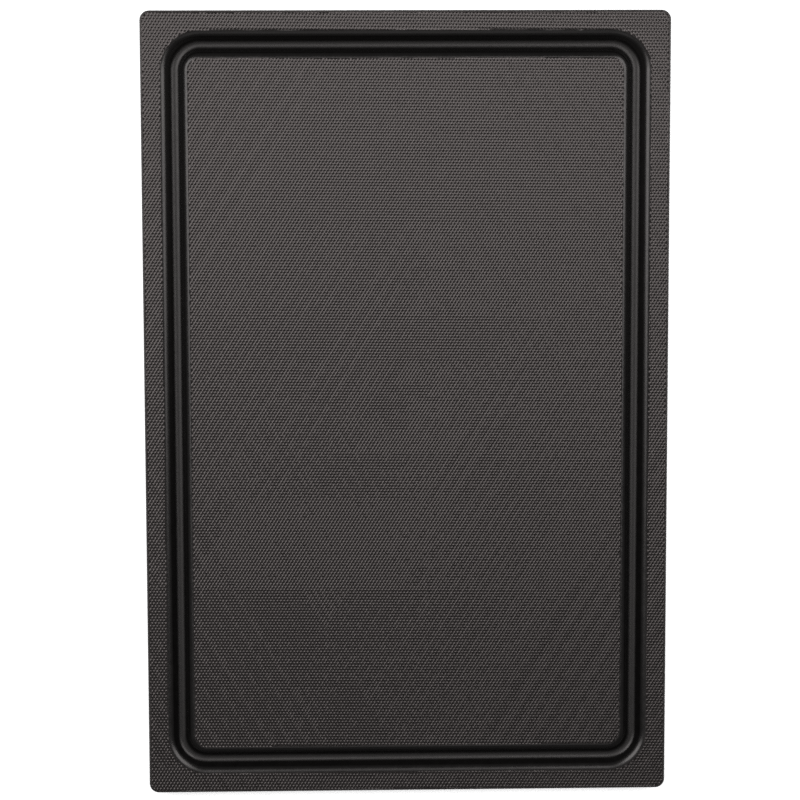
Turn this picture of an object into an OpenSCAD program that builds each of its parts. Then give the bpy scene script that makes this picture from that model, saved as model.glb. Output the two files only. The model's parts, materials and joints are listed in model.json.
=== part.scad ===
// Cutting board with a juice groove: one slab of black polyethylene, cut from sheet and machined.
// Millimetres. The origin is the middle of the underside, on whatever the board lies on.
// +Y runs along the board's length, +X across its width, and +Z points out of the grooved face.

/* [Slab] */
// Width of the board, across the short side
board_w = 304.8; // [200:0.1:500]
// Length of the board, along the long side
board_l = 457.2; // [300:0.1:700]
// Thickness of the sheet that the board is cut from
board_t = 12.7; // [10:0.1:25]
// Radius of the four upright corners
corner_r = 5.5; // [4:0.1:15]
// Radius of the rounding where the sides meet the two faces
edge_r = 1; // [0.5:0.1:3]

/* [Juice groove] */
// Distance from the board's side to the middle of the groove
groove_inset = 19.5; // [16:0.1:40]
// Depth of the groove at its middle
groove_depth = 6; // [5.5:0.1:7]
// Radius of the groove's round bottom
groove_r = 3.5; // [3:0.1:4]
// Radius of the rounded lips where the groove meets the face
lip_r = 5.2; // [4:0.1:5.5]
// Tilt of the straight wall on the side's part of the groove, in degrees from the face
outer_tilt = 55; // [50:0.5:60]
// Tilt of the straight wall on the field's part
inner_tilt = 62; // [55:0.5:63]
// Radius of the groove's corners, at its middle line
groove_corner_r = 14.5; // [12:0.1:30]

/* [Hidden] */
$fn = 96;

// How far the groove's cutting shape stands above the face
over = 1;
// How far the walls cut into the circles at their two ends, so that they always meet
lap = 0.02;

// Height of the centre of the round bottom, and of the centres of the two lips
bottom_z = board_t - groove_depth + groove_r;
lip_z = board_t - lip_r;

// A wall's two ends by its tilt, just inside the bottom's circle and just inside the lip's
function wall_low(tilt) = [
    (groove_r - lap) * sin(tilt),
    bottom_z - (groove_r - lap) * cos(tilt)
];
function wall_high_z(tilt) = lip_z + (lip_r - lap) * cos(tilt);
function wall_high(tilt) = [
    wall_low(tilt)[0] + (wall_high_z(tilt) - wall_low(tilt)[1]) / tan(tilt),
    wall_high_z(tilt)
];

// Distance from the groove's middle line to the centre of a lip, where the face begins
function lip_x(tilt) = wall_high(tilt)[0] + (lip_r - lap) * sin(tilt);

// The slab without its rim, and the rectangle that the groove's corner centres stand on
core = [board_w - 2 * corner_r, board_l - 2 * corner_r];
loop = [
    board_w - 2 * (groove_inset + groove_corner_r),
    board_l - 2 * (groove_inset + groove_corner_r)
];

// Section of the slab's rim, from the core (x = 0) out to the side (x = corner_r)
module rim_section() {
    square([corner_r - edge_r, board_t]);
    translate([0, edge_r])
        square([corner_r, board_t - 2 * edge_r]);
    for (z = [edge_r, board_t - edge_r])
        translate([corner_r - edge_r, z])
            circle(edge_r);
}

// One side of the groove's section above its round bottom, towards +x
module groove_side(tilt) {
    difference() {
        polygon([
            [-lap, wall_low(tilt)[1]],
            wall_low(tilt),
            wall_high(tilt),
            [lip_x(tilt), wall_high_z(tilt)],
            [lip_x(tilt), board_t + over],
            [-lap, board_t + over]
        ]);
        translate([lip_x(tilt), lip_z])
            circle(lip_r);
    }
}

// Section of the groove, as the shape to cut away, with its middle line at x = 0
module groove_section() {
    translate([0, bottom_z])
        circle(groove_r);
    groove_side(outer_tilt);
    mirror([1, 0])
        groove_side(inner_tilt);
}

// Carries a section round a rectangle of corner centres: the section stands `reach` out from them
module around(size, reach) {
    for (end = [0, 1])
        rotate([0, 0, 180 * end]) {
            translate([-size[0] / 2, size[1] / 2, 0])
                rotate([90, 0, 90])
                    linear_extrude(size[0])
                        translate([reach, 0])
                            children();
            translate([size[0] / 2, size[1] / 2, 0])
                rotate([90, 0, 0])
                    linear_extrude(size[1])
                        translate([reach, 0])
                            children();
            for (corner = [0, 1])
                translate([size[0] / 2, size[1] / 2 - corner * size[1], 0])
                    rotate([0, 0, -90 * corner])
                        rotate_extrude(angle = 90)
                            translate([reach, 0])
                                children();
        }
}

// The plain slab, with upright corners and both faces' rims rounded
module slab() {
    translate([-core[0] / 2, -core[1] / 2, 0])
        cube([core[0], core[1], board_t]);
    around(core, 0)
        rim_section();
}

// The board itself: the slab with the groove cut into its upper face
module board() {
    color([0.17, 0.165, 0.16])
        difference() {
            slab();
            around(loop, groove_corner_r)
                groove_section();
        }
}

board();
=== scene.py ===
import json
import math

import bpy
import numpy as np
from mathutils import Euler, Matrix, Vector
from mathutils.geometry import delaunay_2d_cdt

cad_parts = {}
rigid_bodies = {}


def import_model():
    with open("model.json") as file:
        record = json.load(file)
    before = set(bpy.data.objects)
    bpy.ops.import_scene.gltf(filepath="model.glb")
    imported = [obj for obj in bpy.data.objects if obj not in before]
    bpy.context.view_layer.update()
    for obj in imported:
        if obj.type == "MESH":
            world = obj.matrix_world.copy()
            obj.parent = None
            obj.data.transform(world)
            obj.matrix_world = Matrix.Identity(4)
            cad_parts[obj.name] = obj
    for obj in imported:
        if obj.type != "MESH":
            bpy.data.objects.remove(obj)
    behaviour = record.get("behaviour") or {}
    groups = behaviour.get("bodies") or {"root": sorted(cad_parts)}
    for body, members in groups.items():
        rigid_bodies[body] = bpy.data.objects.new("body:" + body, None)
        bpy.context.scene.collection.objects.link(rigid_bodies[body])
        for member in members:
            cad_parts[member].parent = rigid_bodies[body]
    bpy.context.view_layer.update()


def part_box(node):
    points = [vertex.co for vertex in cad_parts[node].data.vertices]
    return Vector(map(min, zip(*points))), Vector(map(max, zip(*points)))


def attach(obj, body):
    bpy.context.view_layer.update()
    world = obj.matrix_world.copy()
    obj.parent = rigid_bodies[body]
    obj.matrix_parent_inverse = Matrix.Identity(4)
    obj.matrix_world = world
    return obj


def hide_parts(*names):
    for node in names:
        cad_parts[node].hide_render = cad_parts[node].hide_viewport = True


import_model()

# A black polyethylene cutting board with a juice groove. Metres, in the CAD frame: the origin is
# the middle of the underside, +Y runs along the board and +Z points out of the grooved face.

LOW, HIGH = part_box("board")
HALF_W = (HIGH.x - LOW.x) / 2
HALF_L = (HIGH.y - LOW.y) / 2
TOP = HIGH.z
MM = 0.001

# ---- The board's other sizes, as in the CAD model

CORNER_R = 5.5 * MM              # upright corners
EDGE_R = 1 * MM                  # rounding between the sides and the faces
GROOVE_INSET = 19.5 * MM         # from the side to the groove's middle line
GROOVE_DEPTH = 6 * MM
GROOVE_CORNER_R = 14.5 * MM      # the groove's corners, along its middle line
GROOVE_R = 3.5 * MM              # the groove's round bottom
LIP_R = 5.2 * MM                 # the groove's round lips
OUTER_TILT = math.radians(55)    # the wall towards the side, from the face
INNER_TILT = math.radians(62)    # the wall towards the field, from the face

# ---- Where the lips begin, which the CAD model leaves out

# The outer lip's long shallow start, on which the grain fades, and the angle at which it ends
RUN_OUT_R = 18 * MM
RUN_OUT_TILT = math.radians(7)

# The angle at which the inner lip leaves the face
INNER_LIP_TILT = math.radians(10)

# ---- The pressed grain: staggered rows of slanting oval pits, made of three crossing waves

PITCH = 1.98 * MM                # from pit to pit in a row
ROW = 1.68 * MM                  # from row to row
GRAIN_TURN = math.radians(-0.6)
PIT_SPREAD = 0.08                # how much the pits' depths differ
EDGE_MARGIN = 0.10 * MM          # plain strip beside the rounded edge
SEAM_CLEAR = 0.22 * MM           # least distance from the grain's points to a seam

# Each wave's half height, and its turns per step along the row and per step to the next row
WAVES = [(0.144 * MM, (1, 0)), (0.084 * MM, (1, 1)), (0.034 * MM, (0, 1))]

# ---- Mesh steps

GRAIN_STEPS = 3                  # from pit to pit, along the row and across
GRAIN_MARGIN = 3                 # steps past the board's ends, because the grain is turned
STRAIGHT_STEP = 2.2 * MM
CORNER_STEPS = 12
EDGE_STEPS = 6
LIP_STEPS = 7
BOTTOM_STEPS = 10
SUPPORT = 0.5 * MM               # extra rows this far from a rounding keep the flats flat

# The materials' numbers on the mesh, in the order in which they are added at the end
PRESSED, MILLED, SAWN, UNDERSIDE = range(4)


# ---- Distances on the face

def box_distance(x, y, half_x, half_y, radius):
    """Signed distance from a rectangle with round corners, negative inside it."""
    over_x = np.abs(x) - (half_x - radius)
    over_y = np.abs(y) - (half_y - radius)
    outside = np.hypot(np.maximum(over_x, 0), np.maximum(over_y, 0))
    return outside + np.minimum(np.maximum(over_x, over_y), 0) - radius


def from_side(x, y):
    """How far a point of the face is from the board's side."""
    return -box_distance(x, y, HALF_W, HALF_L, CORNER_R)


def from_groove(x, y):
    """Distance from the groove's middle line, positive towards the board's side."""
    return box_distance(x, y, HALF_W - GROOVE_INSET, HALF_L - GROOVE_INSET, GROOVE_CORNER_R)


# ---- The groove's section

class GrooveSide:
    """Half of the groove's section: a shallow run-out, a round lip, a straight wall and half of
    the round bottom.

    They are tangent, each tilt is the surface's angle to the face, and x is the distance from the
    groove's middle line."""

    def __init__(self, wall_tilt, run_out_r, run_out_tilt):
        self.wall_tilt = wall_tilt
        self.run_out_r = run_out_r
        self.run_out_tilt = run_out_tilt
        run_out_drop = run_out_r * (1 - math.cos(run_out_tilt))
        lip_drop = LIP_R * (math.cos(run_out_tilt) - math.cos(wall_tilt))
        bottom_rise = GROOVE_R * (1 - math.cos(wall_tilt))
        wall_drop = GROOVE_DEPTH - run_out_drop - lip_drop - bottom_rise
        self.lip_x = (GROOVE_R + LIP_R) * math.sin(wall_tilt) + wall_drop / math.tan(wall_tilt)
        self.lip_z = TOP - run_out_drop - LIP_R * math.cos(run_out_tilt)
        self.seam_x = self.lip_x - LIP_R * math.sin(run_out_tilt)
        self.face_x = self.seam_x + run_out_r * math.sin(run_out_tilt)

    def run_out_depth(self, x):
        """How far the run-out lies below the face."""
        run = np.clip(self.face_x - x, 0, self.run_out_r / 2)
        return self.run_out_r - np.sqrt(self.run_out_r ** 2 - run ** 2)

    def section(self):
        """Points (x, z) from the seam, where the grain ends, down to the groove's middle."""
        lip = np.linspace(self.run_out_tilt, self.wall_tilt, LIP_STEPS + 1)
        bottom = np.linspace(self.wall_tilt, 0, BOTTOM_STEPS + 1)
        bottom_z = TOP - GROOVE_DEPTH + GROOVE_R
        on_lip = [(self.lip_x - LIP_R * math.sin(t), self.lip_z + LIP_R * math.cos(t)) for t in lip]
        on_bottom = [(GROOVE_R * math.sin(t), bottom_z - GROOVE_R * math.cos(t)) for t in bottom]
        return on_lip + on_bottom


OUTER = GrooveSide(OUTER_TILT, RUN_OUT_R, RUN_OUT_TILT)
INNER = GrooveSide(INNER_TILT, 0, INNER_LIP_TILT)


def edge_section():
    """Points (distance in from the side, z) from the underside round the edge to the face."""
    turns = np.linspace(math.pi / 2, 0, EDGE_STEPS + 1)
    low = [(EDGE_R * (1 - math.cos(t)), EDGE_R * (1 - math.sin(t))) for t in turns]
    flat = [(EDGE_R + EDGE_MARGIN, 0)]
    wall = [(0, EDGE_R + SUPPORT), (0, TOP - EDGE_R - SUPPORT)]
    high = [(inset, TOP - z) for inset, z in reversed(flat + low)]
    return flat + low + wall + high


# ---- Mesh building

class Shell:
    """The points and faces of one mesh, and the material of each face.

    A point also has a mark, which says how far across the machining marks it lies, and may have
    a normal; where that is zero the faces around the point decide."""

    def __init__(self):
        self.points = np.empty((0, 3))
        self.normals = np.empty((0, 3))
        self.marks = np.empty(0)
        self.faces = []
        self.materials = []

    def add_points(self, points, mark=0.0, normals=None):
        """Adds points and returns their numbers."""
        first = len(self.points)
        if normals is None:
            normals = np.zeros((len(points), 3))
        self.points = np.concatenate([self.points, points])
        self.normals = np.concatenate([self.normals, normals])
        self.marks = np.concatenate([self.marks, np.full(len(points), mark)])
        return np.arange(first, len(self.points))

    def add_faces(self, faces, material):
        self.faces.extend(faces)
        self.materials.extend([material] * len(faces))

    def to_mesh(self, name):
        mesh = bpy.data.meshes.new(name)
        mesh.from_pydata(self.points.tolist(), [], self.faces)
        mesh.polygons.foreach_set("material_index", self.materials)
        marks = mesh.attributes.new("marks", "FLOAT", "POINT")
        marks.data.foreach_set("value", self.marks.astype(np.float32))
        mesh.shade_smooth()
        mesh.normals_split_custom_set_from_vertices(self.normals)
        return mesh


class Track:
    """A closed path round the board, anticlockwise: places on a rectangle, and the way out at each."""

    def __init__(self, half_x, half_y):
        corners = [(half_x, half_y), (-half_x, half_y), (-half_x, -half_y), (half_x, -half_y)]
        places, turns = [], []
        for quarter, (start, end) in enumerate(zip(corners, corners[1:] + corners[:1])):
            turn = quarter * math.pi / 2
            places += [start] * CORNER_STEPS
            turns += list(np.linspace(turn, turn + math.pi / 2, CORNER_STEPS + 1)[:-1])
            steps = round(math.dist(start, end) / STRAIGHT_STEP)
            places += list(np.linspace(start, end, steps + 1)[:-1])
            turns += [turn + math.pi / 2] * steps
        self.places = np.array(places)
        self.ways = np.stack([np.cos(turns), np.sin(turns)], axis=1)

    def row(self, reach, z):
        """The path's points moved out by reach, at height z."""
        return np.column_stack([self.places + self.ways * reach, np.full(len(self.places), z)])


def sweep(shell, track, section, material):
    """Carries a section of (reach, z) round a track. Returns the first and the last row of points."""
    rows = []
    travelled = 0
    for here, before in zip(section, section[:1] + section):
        travelled += math.dist(here, before)
        rows.append(shell.add_points(track.row(*here), travelled))
    for row, after in zip(rows, rows[1:]):
        quads = np.stack([row, np.roll(row, -1), np.roll(after, -1), after], axis=1)
        shell.add_faces(quads.tolist(), material)
    return rows[0], rows[-1]


# ---- The grain

def lattice_to_face(a, b):
    """Where the place a pits along and b rows up is on the face."""
    u = (a + b / 2) * PITCH
    v = b * ROW
    cos, sin = math.cos(GRAIN_TURN), math.sin(GRAIN_TURN)
    return cos * u - sin * v, sin * u + cos * v


def face_to_lattice(x, y):
    cos, sin = math.cos(GRAIN_TURN), math.sin(GRAIN_TURN)
    b = (cos * y - sin * x) / ROW
    return (cos * x + sin * y) / PITCH - b / 2, b


def relief(a, b):
    """How far the grain is below the face, and how fast that grows with x and y."""
    depth = np.zeros(a.shape)
    along = np.zeros(a.shape)
    across = np.zeros(a.shape)
    for height, (p, q) in WAVES:
        phase = 2 * math.pi * (p * a + q * b)
        depth += height * (0.5 + np.cos(phase))
        slope = -2 * math.pi * height * np.sin(phase)
        along += slope * p / PITCH
        across += slope * (q - p / 2) / ROW
    cos, sin = math.cos(GRAIN_TURN), math.sin(GRAIN_TURN)
    return depth, cos * along - sin * across, sin * along + cos * across


class Grain:
    """The grain over one region of the face, as an even grid of triangles.

    clear(x, y) is the distance to the region's nearest seam, and milled(x, y) how far a milled
    surface lies below the face there. stitch() fills the strip between the grid and the seams."""

    def __init__(self, shell, clear, milled, seed):
        self.shell = shell
        rows = math.ceil(GRAIN_STEPS * HALF_L / ROW) + GRAIN_MARGIN
        columns = math.ceil(GRAIN_STEPS * HALF_W / PITCH + rows / 2) + GRAIN_MARGIN
        self.middle = (rows, columns)
        j, i = np.mgrid[-rows:rows + 1, -columns:columns + 1]
        a, b = i / GRAIN_STEPS, j / GRAIN_STEPS
        x, y = lattice_to_face(a, b)
        inside = clear(x, y) > SEAM_CLEAR
        a, b, x, y = a[inside], b[inside], x[inside], y[inside]

        # A pit keeps its grain where it lies deeper than the milled surface
        chance = np.random.default_rng(seed).uniform(-1, 1, (2 * rows + 1, 2 * columns + 1))
        share = 1 + PIT_SPREAD * chance[np.round(b).astype(int), np.round(a).astype(int)]
        depth, along, across = (share * value for value in relief(a, b))
        cut = milled(x, y)
        z = TOP - np.maximum(depth, cut)
        pressed = depth > cut
        normals = np.stack([along, across, np.ones(len(x))], axis=1) * pressed[:, None]
        self.ids = np.full(i.shape, -1)
        self.ids[inside] = shell.add_points(np.column_stack([x, y, z]), normals=normals)
        self.triangles, self.kept = self.grid_triangles()
        shell.add_faces(self.triangles.tolist(), PRESSED)

    def grid_triangles(self):
        """The grid's triangles that have all their points, and for both halves of each of the
        grid's cells whether it is one of them."""
        here, right = self.ids[:-1, :-1], self.ids[:-1, 1:]
        up, across = self.ids[1:, :-1], self.ids[1:, 1:]
        halves = [np.stack(half, axis=-1) for half in ((here, right, up), (right, across, up))]
        kept = [(half >= 0).all(axis=-1) for half in halves]
        return np.concatenate([half[keep] for half, keep in zip(halves, kept)]), kept

    def outline(self):
        """The grid's outer edges, which have a triangle on one side only."""
        sides = [self.triangles[:, [k, k - 2]] for k in range(3)]
        edges, counts = np.unique(np.sort(np.concatenate(sides), axis=1), axis=0, return_counts=True)
        return edges[counts == 1]

    def in_grid(self, x, y):
        """Whether each point lies in one of the grid's triangles."""
        a, b = face_to_lattice(x, y)
        a, b = a * GRAIN_STEPS, b * GRAIN_STEPS
        i, j = np.floor(a).astype(int), np.floor(b).astype(int)
        second = a - i + b - j > 1
        place = (j + self.middle[0], i + self.middle[1])
        return np.where(second, self.kept[1][place], self.kept[0][place])

    def stitch(self, outer, hole=()):
        """Triangles between the grid and the seams, which are closed rows of points."""
        seams = [np.stack([row, np.roll(row, -1)], axis=1) for row in (outer, hole) if len(row)]
        edges = np.concatenate([self.outline(), *seams])
        loose = np.setdiff1d(self.ids[self.ids >= 0], self.triangles)
        ids = np.union1d(edges, loose)
        flat = self.shell.points[:, :2] / MM
        places = [Vector(place) for place in flat[ids].tolist()]
        pairs = np.searchsorted(ids, edges).tolist()
        inside_loops, epsilon = 1, 1e-6
        _, _, faces, origins, _, _ = delaunay_2d_cdt(places, pairs, [], inside_loops, epsilon)
        triangles = np.array([[ids[origins[corner][0]] for corner in face] for face in faces])
        middles = flat[triangles].mean(axis=1) * MM
        in_hole = np.isin(triangles, hole).all(axis=1)
        keep = ~in_hole & ~self.in_grid(middles[:, 0], middles[:, 1])
        self.shell.add_faces(triangles[keep].tolist(), PRESSED)


# ---- The board

def make_board():
    shell = Shell()
    side = Track(HALF_W - CORNER_R, HALF_L - CORNER_R)
    groove_half_w = HALF_W - GROOVE_INSET - GROOVE_CORNER_R
    groove_half_l = HALF_L - GROOVE_INSET - GROOVE_CORNER_R
    groove = Track(groove_half_w, groove_half_l)

    edge = [(CORNER_R - inset, z) for inset, z in edge_section()]
    underside, face_edge = sweep(shell, side, edge, SAWN)
    shell.add_faces([underside[::-1].tolist()], UNDERSIDE)

    outer_half = [(GROOVE_CORNER_R + x, z) for x, z in OUTER.section()]
    inner_half = [(GROOVE_CORNER_R - x, z) for x, z in reversed(INNER.section()[:-1])]
    outer_seam, inner_seam = sweep(shell, groove, outer_half + inner_half, MILLED)

    rim = Grain(
        shell,
        clear=lambda x, y: np.minimum(
            from_side(x, y) - EDGE_R - EDGE_MARGIN,
            from_groove(x, y) - OUTER.seam_x,
        ),
        milled=lambda x, y: OUTER.run_out_depth(from_groove(x, y)),
        seed=1,
    )
    rim.stitch(face_edge, outer_seam)
    field = Grain(
        shell,
        clear=lambda x, y: -from_groove(x, y) - INNER.seam_x,
        milled=lambda x, y: INNER.run_out_depth(-from_groove(x, y)),
        seed=2,
    )
    field.stitch(inner_seam)

    board = bpy.data.objects.new("cutting_board", shell.to_mesh("cutting_board"))
    bpy.context.collection.objects.link(board)
    return board


# ---- Materials

IOR = 1.5
DARK_PLASTIC = (0.0013, 0.0012, 0.0012)
PALE_PLASTIC = (0.0019, 0.0017, 0.0016)

# The tints of the reflections
GRAIN_GLOSS = (1.0, 0.90, 0.88)
GROOVE_GLOSS = (0.84, 0.80, 0.79)
SIDE_GLOSS = (1.0, 0.92, 0.90)

# What the cutter's slow tip adds to the roughness at the bottom of the groove, and how far up
TIP_ROUGHNESS = 0.20
TIP_HEIGHT = 1 * MM

NOISE_LOW, NOISE_HIGH = 0.3, 0.7    # most of Blender's noise lies between these
WAVE_SCALE = math.pi / 10           # the wave texture's scale for one wave per metre


class Nodes:
    """Short calls for adding and linking a material's nodes."""

    def __init__(self, material):
        self.tree = material.node_tree

    def add(self, kind, inputs=None, **settings):
        """A node with some settings and some inputs, each a value or another node's output."""
        node = self.tree.nodes.new(kind)
        for name, value in settings.items():
            setattr(node, name, value)
        for name, value in (inputs or {}).items():
            if isinstance(value, bpy.types.NodeSocket):
                self.tree.links.new(value, node.inputs[name])
            else:
                node.inputs[name].default_value = value
        return node

    def noise(self, where, scale, detail=3.0):
        """Noise around 0.5, at a scale in features per metre."""
        inputs = {"Vector": where, "Scale": scale, "Detail": detail}
        return self.add("ShaderNodeTexNoise", inputs).outputs["Fac"]

    def lines(self, along, scale):
        """Noise that changes with one value only."""
        inputs = {"W": along, "Scale": scale, "Detail": 2.0}
        return self.add("ShaderNodeTexNoise", inputs, noise_dimensions="1D").outputs["Fac"]

    def ramp(self, value, start, end, low, high):
        """A value that runs from low to high while another runs from start to end."""
        inputs = {"Value": value, "From Min": start, "From Max": end, "To Min": low, "To Max": high}
        return self.add("ShaderNodeMapRange", inputs).outputs["Result"]

    def spread(self, noise, low, high):
        """Noise stretched to run from low to high."""
        return self.ramp(noise, NOISE_LOW, NOISE_HIGH, low, high)

    def blend(self, value, first, second):
        """A colour between two, by a value from 0 to 1."""
        ramp = self.add("ShaderNodeValToRGB", {"Fac": value})
        ramp.color_ramp.elements[0].color = (*first, 1)
        ramp.color_ramp.elements[1].color = (*second, 1)
        return ramp.outputs["Color"]

    def bump(self, height, distance, normal=None):
        """A bumped normal, on top of another if given."""
        inputs = {"Height": height, "Distance": distance}
        if normal is not None:
            inputs["Normal"] = normal
        return self.add("ShaderNodeBump", inputs).outputs["Normal"]


def black_plastic(name, gloss):
    """A material whose reflections have the given tint, with its nodes, its principled shader and
    the place on the board."""
    material = bpy.data.materials.new(name)
    material.use_nodes = True
    nodes = Nodes(material)
    shader = material.node_tree.nodes["Principled BSDF"]
    shader.inputs["IOR"].default_value = IOR
    shader.inputs["Specular Tint"].default_value = (*gloss, 1)
    where = nodes.add("ShaderNodeTexCoord").outputs["Object"]
    colour = nodes.blend(nodes.noise(where, scale=30), DARK_PLASTIC, PALE_PLASTIC)
    nodes.tree.links.new(colour, shader.inputs["Base Color"])
    return material, nodes, shader, where


def pressed_plastic():
    """The grained face: satin, with a fine matte tooth."""
    material, nodes, shader, where = black_plastic("pressed_plastic", GRAIN_GLOSS)
    roughness = nodes.spread(nodes.noise(where, scale=160), low=0.20, high=0.26)
    nodes.tree.links.new(roughness, shader.inputs["Roughness"])
    tooth = nodes.bump(nodes.noise(where, scale=3500), distance=0.012 * MM)
    nodes.tree.links.new(tooth, shader.inputs["Normal"])
    return material


def milled_plastic():
    """The groove: fine lines left by the cutter, whose slow tip leaves the bottom rougher."""
    material, nodes, shader, where = black_plastic("milled_plastic", GROOVE_GLOSS)
    height = nodes.add("ShaderNodeSeparateXYZ", {"Vector": where}).outputs["Z"]
    floor = TOP - GROOVE_DEPTH
    extra = nodes.ramp(height, start=floor, end=floor + TIP_HEIGHT, low=TIP_ROUGHNESS, high=0.0)
    patches = nodes.spread(nodes.noise(where, scale=220), low=0.25, high=0.31)
    roughness = nodes.add("ShaderNodeMath", {0: patches, 1: extra}, operation="ADD")
    nodes.tree.links.new(roughness.outputs["Value"], shader.inputs["Roughness"])
    marks = nodes.add("ShaderNodeAttribute", attribute_name="marks").outputs["Fac"]
    cut = nodes.bump(nodes.lines(marks, scale=2600), distance=0.006 * MM)
    tooth = nodes.bump(nodes.noise(where, scale=2500), distance=0.006 * MM, normal=cut)
    nodes.tree.links.new(tooth, shader.inputs["Normal"])
    return material


def sawn_plastic():
    """The sides and their rounded edges: matt, with saw lines along them."""
    material, nodes, shader, where = black_plastic("sawn_plastic", SIDE_GLOSS)
    roughness = nodes.spread(nodes.noise(where, scale=180), low=0.44, high=0.52)
    nodes.tree.links.new(roughness, shader.inputs["Roughness"])
    height = nodes.add("ShaderNodeSeparateXYZ", {"Vector": where}).outputs["Z"]
    cut = nodes.bump(nodes.lines(height, scale=1400), distance=0.015 * MM)
    tooth = nodes.bump(nodes.noise(where, scale=1800), distance=0.010 * MM, normal=cut)
    nodes.tree.links.new(tooth, shader.inputs["Normal"])
    return material


def underside_plastic():
    """The underside, with the grain of the face as three crossing waves of bump."""
    material, nodes, shader, where = black_plastic("underside_plastic", GRAIN_GLOSS)
    roughness = nodes.spread(nodes.noise(where, scale=160), low=0.36, high=0.44)
    nodes.tree.links.new(roughness, shader.inputs["Roughness"])
    normal = None
    for height, (p, q) in WAVES:
        turns = (p / PITCH, (q - p / 2) / ROW)
        way = math.atan2(turns[1], turns[0]) + GRAIN_TURN
        turned = nodes.add("ShaderNodeMapping", {"Vector": where, "Rotation": (0, 0, -way)})
        inputs = {"Vector": turned.outputs["Vector"], "Scale": WAVE_SCALE * math.hypot(*turns)}
        wave = nodes.add("ShaderNodeTexWave", inputs)
        normal = nodes.bump(wave.outputs["Fac"], 2 * height, normal)
    nodes.tree.links.new(normal, shader.inputs["Normal"])
    return material


# ---- The studio

FLOOR_SIZE = 30.0
FLOOR_SHADE = 0.85
FLOOR_ROUGHNESS = 0.9
FLOOR_GLOW = 0.45
ROOM_RADIANCE = 0.17

# Each softbox's place, size and radiance
SOFTBOXES = {
    "softbox_left": ((-1.11, 0.55, 1.5), (1.5, 1.38), 4.7),
    "softbox_right": ((1.11, 0.55, 1.5), (1.5, 1.38), 3.9),
    "softbox_far": ((0.0, 0.65, 2.1), (2.7, 1.0), 0.85),
    "softbox_near": ((0.0, -0.95, 1.5), (0.9, 1.1), 0.6),
}

CAMERA_PLACE = (-0.0504, 0.1748, 1.5173)
CAMERA_TURN = (-6.471, -1.781, -0.142)    # degrees
CAMERA_LENS = 117.15                      # millimetres


def make_floor():
    half = FLOOR_SIZE / 2
    corners = [(-half, -half, 0), (half, -half, 0), (half, half, 0), (-half, half, 0)]
    mesh = bpy.data.meshes.new("floor")
    mesh.from_pydata(corners, [], [(0, 1, 2, 3)])
    floor = bpy.data.objects.new("floor", mesh)
    bpy.context.collection.objects.link(floor)
    material = bpy.data.materials.new("floor")
    material.use_nodes = True
    shader = material.node_tree.nodes["Principled BSDF"]
    shader.inputs["Base Color"].default_value = (FLOOR_SHADE, FLOOR_SHADE, FLOOR_SHADE, 1)
    shader.inputs["Roughness"].default_value = FLOOR_ROUGHNESS
    shader.inputs["Emission Color"].default_value = (1, 1, 1, 1)
    shader.inputs["Emission Strength"].default_value = FLOOR_GLOW
    mesh.materials.append(material)
    return floor


def add_softbox(name, place, size, radiance):
    """A rectangular lamp turned to the origin, as bright as given wherever it is seen from."""
    lamp = bpy.data.lights.new(name, "AREA")
    lamp.shape = "RECTANGLE"
    lamp.size, lamp.size_y = size
    lamp.energy = radiance * math.pi * size[0] * size[1]
    holder = bpy.data.objects.new(name, lamp)
    holder.location = place
    holder.rotation_euler = Vector(place).to_track_quat("Z", "Y").to_euler()
    holder.visible_camera = False
    bpy.context.collection.objects.link(holder)


def make_world():
    """A dim room, which the camera sees as a pale backdrop."""
    world = bpy.data.worlds.new("studio")
    world.use_nodes = True
    tree = world.node_tree
    room = tree.nodes["Background"]
    room.inputs["Color"].default_value = (1, 1, 1, 1)
    room.inputs["Strength"].default_value = ROOM_RADIANCE
    backdrop = tree.nodes.new("ShaderNodeBackground")
    backdrop.inputs["Color"].default_value = (1, 1, 1, 1)
    path = tree.nodes.new("ShaderNodeLightPath")
    mix = tree.nodes.new("ShaderNodeMixShader")
    tree.links.new(path.outputs["Is Camera Ray"], mix.inputs["Fac"])
    tree.links.new(room.outputs["Background"], mix.inputs[1])
    tree.links.new(backdrop.outputs["Background"], mix.inputs[2])
    tree.links.new(mix.outputs["Shader"], tree.nodes["World Output"].inputs["Surface"])
    bpy.context.scene.world = world


def make_camera():
    """Looks down from above the far half of the board, a little off centre."""
    camera = bpy.data.cameras.new("camera")
    camera.lens = CAMERA_LENS
    holder = bpy.data.objects.new("camera", camera)
    holder.location = CAMERA_PLACE
    holder.rotation_euler = Euler([math.radians(turn) for turn in CAMERA_TURN])
    bpy.context.collection.objects.link(holder)
    bpy.context.scene.camera = holder


# ---- The scene

board = make_board()
for plastic in (pressed_plastic, milled_plastic, sawn_plastic, underside_plastic):
    board.data.materials.append(plastic())
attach(board, "root")
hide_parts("board")

make_floor()
for name, (place, size, radiance) in SOFTBOXES.items():
    add_softbox(name, place, size, radiance)
make_world()
make_camera()
bpy.context.scene.view_settings.view_transform = "Standard"
bpy.context.scene.cycles.use_denoising = False    # it would wipe out the grain
